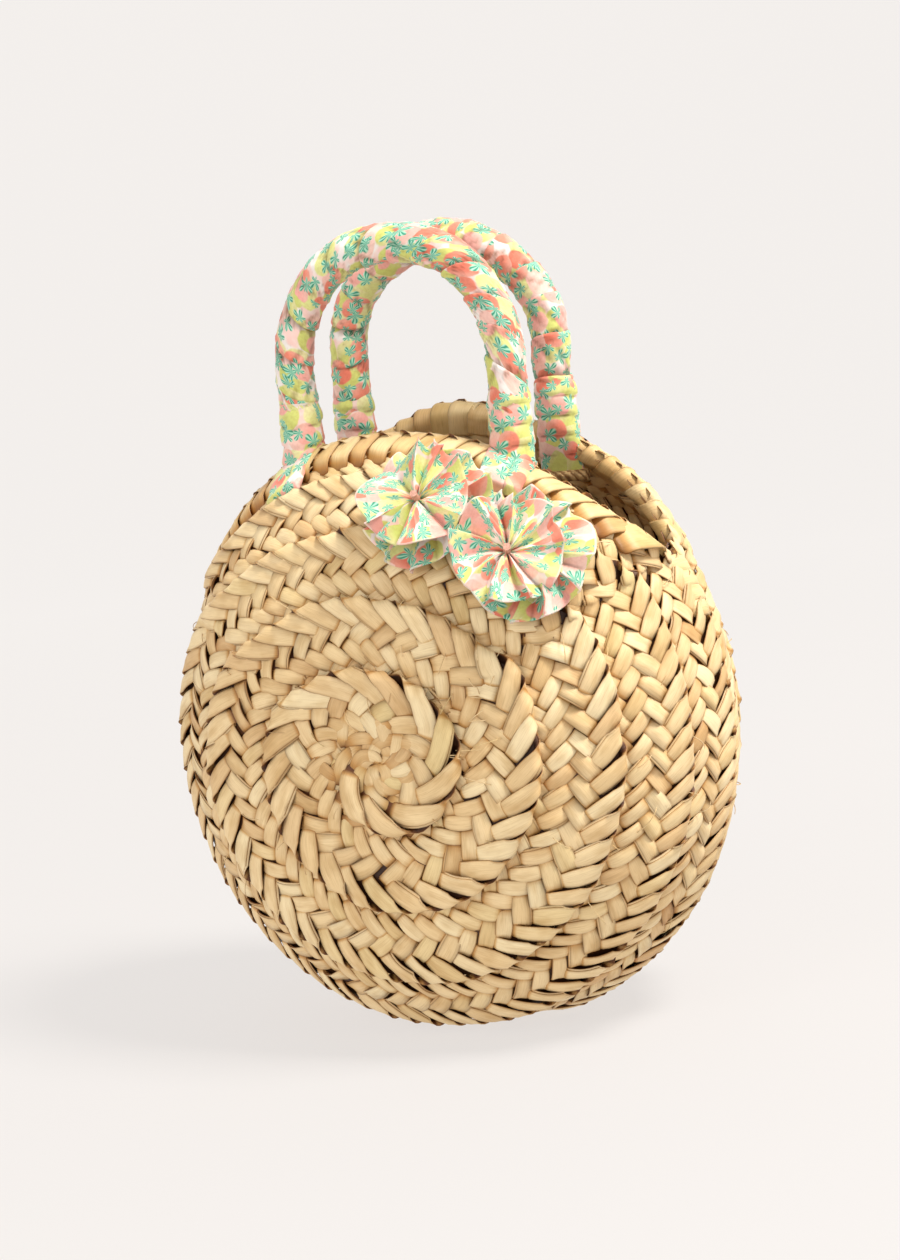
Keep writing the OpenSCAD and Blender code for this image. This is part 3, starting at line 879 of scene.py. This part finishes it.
front_rim = rim_strips("front_rim_strips", domes["front"], 5)
back_rim = rim_strips("back_rim_strips", domes["back"], 7)
half_turn_about_z(back_rim)
dress([front_rim], palm_rim, "basket", "palm_binding", "front_rim_binding")
dress([back_rim], palm_rim, "basket", "palm_binding", "back_rim_binding")
for side_name, side, seed in (("right", 1, 3), ("left", -1, 4)):
    dress([corner_binding(f"{side_name}_corner_strips", side, seed)], palm_rim, "basket", "palm_binding",
          f"{side_name}_corner_wrap")


# ---- printed cotton ----

def cloth_mesh(name, points, u, v, shade):
    """An open sheet from a grid of points, with its place on the cloth in millimetres."""
    shape = points.shape[:2]
    values = {"u": u, "v": v, "shade": shade}
    return mesh_object(name, points.reshape(-1, 3), grid_quads(shape), {
        key: np.broadcast_to(value, shape) for key, value in values.items()})


wrap_low, wrap_high = box_mm("front_handle_wrap")
WRAP_R = (wrap_high[1] - wrap_low[1]) / 2
HANDLE_Y = -(wrap_high[1] + wrap_low[1]) / 2
LEG_X = wrap_high[0] - WRAP_R
ARCH_Z = wrap_high[2] - WRAP_R - LEG_X
PIVOT_BELOW_ARCH = 27.5
PIVOT_Z = ARCH_Z - PIVOT_BELOW_ARCH
LEG_LEN = ARCH_Z - PIVOT_Z
PATH_LEN = 2 * LEG_LEN + math.pi * LEG_X
WRAP_PITCH = 15.2
WRAP_OVERLAP = 5.5


def handle_path(s):
    """Middle, and outward direction in the handle's plane, a run s along a handle from its left foot."""
    turn = np.clip((s - LEG_LEN) / LEG_X, 0, math.pi)
    before = np.minimum(s - LEG_LEN, 0)
    after = np.maximum(s - LEG_LEN - math.pi * LEG_X, 0)
    x, z = -LEG_X * np.cos(turn), ARCH_Z + LEG_X * np.sin(turn) + before - after
    return x, z, -np.cos(turn), np.sin(turn)


def handle_wrap(name, y, seed, hand):
    """A strip of cotton wound along a handle, each turn lapping over the last."""
    rng = np.random.default_rng(seed)
    turns = PATH_LEN / WRAP_PITCH + 0.6
    t = np.linspace(0, turns, int(turns * 44))
    # one turn's section: share of its width, and height over the rope
    profile = np.array([
        (-0.03, -1.5), (-0.036, -0.9), (-0.022, -0.1), (0.0, 0.3), (0.04, 0.42), (0.1, 0.2), (0.2, 0.12),
        (0.3, 0.2), (0.4, 0.16), (0.5, 0.02), (0.6, -0.08), (0.7, -0.3), (0.85, -0.7), (1.0, -1.2)])
    w = profile[:, 0]
    wide = WRAP_PITCH + WRAP_OVERLAP
    wander = 1.5 * np.sin(1.9 * t + rng.random() * 6) + 1.0 * np.sin(0.83 * t + rng.random() * 6)
    s = WRAP_PITCH * (t - 0.3)[:, None] + wide * w[None, :] + wander[:, None] - 2.0
    s = np.clip(s, -1, PATH_LEN + 1)
    swing = hand * TAU * t[:, None]
    s = s + 3.4 * np.sin(swing + 0.8)
    x, z, out_x, out_z = handle_path(s)
    arc = WRAP_R * swing
    phase = rng.random(8) * 6
    pull = s * 0.80 + hand * arc * 0.42
    crease = np.sin(TAU * pull / 7.3 + 1.3 * np.sin(0.21 * s + phase[0]) + phase[1])
    finer = np.sin(TAU * (s * 0.62 + hand * arc * 0.7) / 4.4 + 1.6 * np.sin(0.33 * s + phase[2]))
    gate = 0.5 + 0.5 * np.sin(0.29 * s + hand * 0.16 * arc + phase[3])
    fold = 0.85 * np.abs(crease) ** 0.7 * gate + 0.38 * finer * (1 - 0.6 * gate) - 0.3
    slack = 0.35 * np.sin(0.11 * s + swing + phase[4])
    fade = np.sin(math.pi * np.clip(w, 0, 1))[None, :] ** 0.4
    r = WRAP_R + 0.35 + profile[:, 1][None, :] + fold * fade + slack
    points = np.stack([
        x + r * out_x * np.cos(swing), y + r * np.sin(swing), z + r * out_z * np.cos(swing)], -1)
    under_lap = 1.5 * (w[None, :] < -0.025)
    shade = np.clip(0.58 + 0.7 * fold - under_lap - 0.9 * smooth((w[None, :] - 0.62) / 0.2), 0, 0.9)
    return cloth_mesh(name, points, WRAP_R * TAU * t[:, None], wide * w[None, :] + 31 * hand, shade)


def foot_sleeve(name, x0, y0, seed):
    """Cotton bound round the foot of a handle, from the edge of the mouth up on to the handle."""
    rng = np.random.default_rng(seed)
    side = -1.0 if y0 < 0 else 1.0
    rim_angle = math.acos(min(abs(x0) / HALF_W, 1))
    rim_z = CENTRE_Z + HALF_H * math.sin(rim_angle)
    low, high = rim_z - 17.0, PIVOT_Z + 12.0
    rows, columns = 40, 49
    h = np.linspace(0, 1, rows)[:, None]
    swing = np.linspace(0, TAU, columns)[None, :]
    tilt = 1.6 * np.cos(swing + rng.random() * 6) * side
    z = np.broadcast_to(low + (high - low) * h, (rows, columns))
    band = ((z + tilt - low) / 8.6 + rng.random() * 0.3) % 1.0
    lap = np.interp(band, [0, 0.06, 0.14, 0.9, 1.0], [-0.75, 0.15, 0.35, -0.25, -0.75])
    wrinkle = 0.22 * np.sin(3 * swing + 0.5 * z + rng.random() * 6) + 0.18 * np.sin(7 * swing - 0.4 * z)
    r = WRAP_R + 1.15 + lap + wrinkle
    top = smooth((1 - h) * 9)
    r = r * (0.93 + 0.07 * top)
    front = np.sin(swing) * side > 0
    narrow = 0.12 + 0.88 * smooth((z - low) / (PIVOT_Z - 2 - low)) ** 0.8
    depth = np.where(front, r, r * narrow)
    points = np.stack([x0 + r * np.cos(swing) * (1.06 - 0.06 * h), y0 + depth * np.sin(swing), z], -1)
    shade = np.clip(0.75 + 0.9 * lap + 0.5 * wrinkle, 0, 0.9)
    return cloth_mesh(name, points, 9.2 * swing, z + 13 * x0, shade)


def wall_patch(name, x0, y0, start, end, over, wide_top, wide_foot, seed):
    """A folded band of cotton lying on the wall straight below a handle's foot.  start and end are
    runs down the wall from its edge; over is the height over the wall's middle surface."""
    rng = np.random.default_rng(seed)
    side = -1.0 if y0 < 0 else 1.0
    # across the band: share of its width, and height over its middle ply
    a = np.array([-0.5, -0.497, -0.45, -0.3, -0.12, 0.03, 0.10, 0.115, 0.125, 0.2, 0.35, 0.45, 0.497, 0.5])
    lump = np.array([-1.9, -0.5, 0.0, 0.25, 0.3, 0.2, 0.1, 0.05, 0.75, 0.85, 0.7, 0.4, -0.4, -1.9])
    rows = 26
    b = np.linspace(start, end, rows)
    share = (b - start) / (end - start)
    x = x0 + a[None, :] * (wide_top + (wide_foot - wide_top) * share)[:, None]
    drop = np.linspace(0, 45, 181)
    points = np.empty((rows, len(a), 3))
    for column in range(len(a)):
        cosine = x[:, column][:, None] / HALF_W
        rim = CENTRE_Z + HALF_H * np.sqrt(1 - cosine ** 2)
        z = rim - drop[None, :]
        sine = (z - CENTRE_Z) / HALF_H
        r = np.hypot(cosine, sine)
        th = np.degrees(np.arctan2(sine, np.abs(cosine)))
        y = wall_depth(mouth_share(th), r) - WALL / 2
        own = th if x0 * side < 0 else 180 - th
        way_out = np.clip(1 - np.sqrt(np.maximum(1 - r, 0)), 0, 1)
        z = z + edge_sag(own, SAGS["front" if side < 0 else "back"]) * way_out ** SAG_FADE
        run = np.concatenate([
            np.zeros((rows, 1)), np.cumsum(np.hypot(np.diff(y, axis=1), 0.25), axis=1)], 1)
        for row in range(rows):
            points[row, column] = (
                x[row, column], side * np.interp(b[row], run[row], y[row]),
                np.interp(b[row], run[row], z[row]))
    normal = unit(np.cross(np.gradient(points, axis=0), np.gradient(points, axis=1)))
    normal *= np.sign(normal[..., 1:2]) * side
    tuck = over - (over + 0.2 if over > 0 else 0) * smooth((share - 0.86) / 0.14)
    ripple = 0.25 * np.sin(b[:, None] * 0.7 + a[None, :] * 5 + rng.random() * 6)
    points += normal * (tuck[:, None] + np.sign(over) * (lump[None, :] + ripple))[..., None]
    crease = 0.8 * (np.abs(a[None, :] - 0.112) < 0.01)
    shade = np.clip(0.75 + 0.35 * lump[None, :] + ripple - crease, 0, 0.9)
    return cloth_mesh(name, points, a[None, :] * wide_top + x0 * 3, b[:, None] + seed * 7, shade)


TAB_W = 18.5
for side_name, y in (("front", -HANDLE_Y), ("back", HANDLE_Y)):
    handle = f"{side_name}_handle"
    hand = 1 if y < 0 else -1
    dress([handle_wrap(f"{side_name}_handle_cotton", y, 31 + hand, hand)], cotton, handle, "print_cotton",
          f"{handle}_wrap")
    for foot_name, x in (("left", -LEG_X), ("right", LEG_X)):
        where = f"{side_name}_{foot_name}"
        seed = 41 + hand + (2 if x > 0 else 0)
        sleeve = foot_sleeve(f"{where}_foot_sleeve", x, y, seed)
        dress([sleeve], cotton, None, "print_cotton", f"{where}_lashing")
        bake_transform(sleeve)
        outer = wall_patch(f"{where}_tab_outer", x, y, 6.5, 27.0, 4.2, TAB_W, TAB_W - 2, seed)
        inner = wall_patch(f"{where}_tab_inner", x, y, 1.0, 17.0, -4.6, TAB_W - 3, TAB_W - 4, seed + 10)
        dress([outer, inner], cotton, "basket", "print_cotton", f"{where}_tab")


# ---- rosettes: two gathered ruffles each ----

def disc_frame(node):
    """Centre, and right, up and outward directions, of a disc-shaped node."""
    points = mesh_points(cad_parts[node].data).astype(float) / MM
    middle = points.mean(0)
    _, axes = np.linalg.eigh(np.cov((points - middle).T))
    out = axes[:, 0] * (-1 if axes[1, 0] > 0 else 1)
    right = unit(np.cross(out, np.array([0.0, 0.0, 1.0])))
    right = right * np.sign(right[0])
    up = np.cross(out, right)
    up = up * np.sign(up[2])
    axes = np.stack([right, up, out])
    local = (points - middle) @ axes.T
    return middle + ((local.min(0) + local.max(0)) / 2) @ axes, axes


FLUTTER = 2.7
UNEVEN = 0.44


def ruffle(name, node, radius, lobes, rise, bowl, seed):
    """A strip of cotton gathered into a ring of folds, with a narrow hem turned under its edge."""
    rng = np.random.default_rng(seed)
    centre, axes = disc_frame(node)
    around, rings = lobes * 22, 30
    theta = np.linspace(0, TAU, around + 1)[None, :]
    share = np.concatenate([np.linspace(0.03, 1.0, rings), [1.012, 0.995, 0.95]])[:, None]
    hem = np.concatenate([np.zeros(rings), [-0.45, -0.9, -0.95]])[:, None]
    core = np.clip(share, 0, 1)

    def wave(count):
        return np.sin(count * theta + rng.random() * 6)

    drift = sum(rng.normal(0, 0.42) * wave(k) for k in range(1, 6))
    phase = lobes * theta + drift * 1.7 + 0.5 * core * wave(2)
    lobe = np.abs(np.sin(phase / 2))
    fold = 2 * lobe ** (0.55 + 0.5 * core) - 1
    uneven = 1 + UNEVEN * wave(2) + 0.3 * wave(5)
    size = rise * (0.35 + 0.65 * core ** 0.7) * uneven
    flutter = FLUTTER * core ** 2.5 * (np.sin(phase * 0.5 + 1) + 0.8 * wave(3))
    gathered = 2.2 * np.exp(-(core / 0.16) ** 2)
    height = size * fold + flutter + bowl * (core ** 0.9 - 0.5) - gathered + hem
    lean = (0.85 / lobes) * np.sin(phase + 0.6) * core ** 0.5 + 0.1 * np.sin(2 * theta + 1) * core
    angle = theta + lean + 0.25 * core * rng.normal(0, 0.5)
    r = radius * share * (1 + 0.035 * wave(3) + 0.05 * core ** 2 * fold)
    local = np.stack([r * np.cos(angle), r * np.sin(angle), height], -1)
    points = centre + local @ axes
    outer_edge = np.linalg.norm(np.diff(points, axis=1), axis=-1)[rings - 1].sum()
    dark_middle = 0.5 * np.exp(-(core / 0.2) ** 2)
    shade = np.clip(0.3 + 0.9 * lobe ** 0.8 - dark_middle, 0, 0.9) + 0.1 * (share >= 0.995)
    return cloth_mesh(name, points, outer_edge * theta / TAU + seed * 17, radius * share, shade)


# layer, radius, number of folds, rise of a fold, depth of the bowl, and length of the flat strip in metres
RUFFLES = (("back", 27.0, 10, 2.8, 0.5, 0.190), ("front", 22.5, 8, 3.4, 2.0, 0.165))
for side_name, seed in (("left", 61), ("right", 67)):
    for layer, radius, lobes, rise, bowl, flat_length in RUFFLES:
        node = f"{side_name}_rosette_{layer}"
        piece = ruffle(f"{side_name}_ruffle_{layer}", node, radius, lobes, rise, bowl, seed + lobes)
        dress([piece], cotton, "basket", "print_cotton", node)


# ---- floor, backdrop and light ----

# the backdrop's sizes, in metres
FLOOR_REACH = 60.0
BEND_START = 1.6
BEND_R = 1.2
WALL_TOP = 5.0
FAR_R = 58.0
FAR_Z = (-0.5, 22.0)
FAR_STEPS = 64


def backdrop():
    """A pale floor that curves up into a wall behind the basket, and a plain wall far off on every
    side."""
    profile = [(-FLOOR_REACH, 0.0), (BEND_START, 0.0)]
    profile += [(BEND_START + BEND_R * math.sin(a), BEND_R * (1 - math.cos(a)))
                for a in np.linspace(0.1, math.pi / 2, 14)]
    profile.append((BEND_START + BEND_R, WALL_TOP))
    turn = Matrix.Rotation(CAMERA_AZIMUTH, 3, "Z")
    points = [turn @ Vector((x, y, z)) for x in (-FLOOR_REACH, FLOOR_REACH) for y, z in profile]
    count = len(profile)
    quads = np.array([(i, i + 1, i + 1 + count, i + count) for i in range(count - 1)])[:, ::-1]
    piece = mesh_object("backdrop", np.array([tuple(p) for p in points]) / MM, quads)
    n = Nodes("backdrop")
    place = n.add("ShaderNodeTexCoord").outputs["Object"]
    away = n.add("ShaderNodeVectorMath", {0: place}, operation="LENGTH").outputs["Value"]
    share = n.maths("DIVIDE", away, 4.0)
    n.shader.inputs["Base Color"].default_value = rgba(106, 104, 102)
    n.feed(n.ramp(share, [
        (0.05, (0.68, 0.655, 0.640)), (0.2, (0.715, 0.690, 0.673)), (0.42, (0.755, 0.730, 0.712)),
        (0.8, (0.765, 0.740, 0.722)),
    ]), n.shader.inputs["Emission Color"])
    n.shader.inputs["Emission Strength"].default_value = 1.0
    n.shader.inputs["Roughness"].default_value = 0.9
    n.shader.inputs["Specular IOR Level"].default_value = 0.1
    piece.data.materials.append(n.material)

    turns = np.linspace(0, TAU, FAR_STEPS, endpoint=False)
    low, high = (
        np.stack([FAR_R * np.cos(turns), FAR_R * np.sin(turns), np.full(FAR_STEPS, z)], -1) for z in FAR_Z)
    here = np.arange(FAR_STEPS)
    after = (here + 1) % FAR_STEPS
    quads = np.stack([here, here + FAR_STEPS, after + FAR_STEPS, after], -1)
    ring = mesh_object("far_wall", np.concatenate([low, high]) / MM, quads)
    ring.data.materials.append(n.material)


def area_light(name, direction, distance, size, power, colour):
    """A round soft light that faces the middle of the basket."""
    data = bpy.data.lights.new(name, "AREA")
    data.shape = "DISK"
    data.size = size
    data.energy = power
    data.color = colour
    light = bpy.data.objects.new(name, data)
    bpy.context.scene.collection.objects.link(light)
    position = body_centre + Vector(direction).normalized() * distance
    light.matrix_world = look_matrix(position, body_centre)


def view_direction(right, up, towards):
    """A direction given from the camera's place: to its right, upwards, and towards it."""
    a = CAMERA_AZIMUTH
    return Vector((math.cos(a), math.sin(a), 0)) * right + Vector((0, 0, 1)) * up \
        + Vector((math.sin(a), -math.cos(a), 0)) * towards


backdrop()
area_light("key", view_direction(0.75, 1.35, 0.40), 1.7, 0.5, 35, (1.0, 0.975, 0.94))
area_light("fill", view_direction(-0.9, 0.6, 1.0), 2.2, 1.2, 11, (1.0, 0.985, 0.96))
world = bpy.data.worlds.new("studio")
world.use_nodes = True
sky = world.node_tree.nodes["Background"].inputs
sky["Color"].default_value = (1.0, 0.985, 0.97, 1)
sky["Strength"].default_value = 0.54
bpy.context.scene.world = world
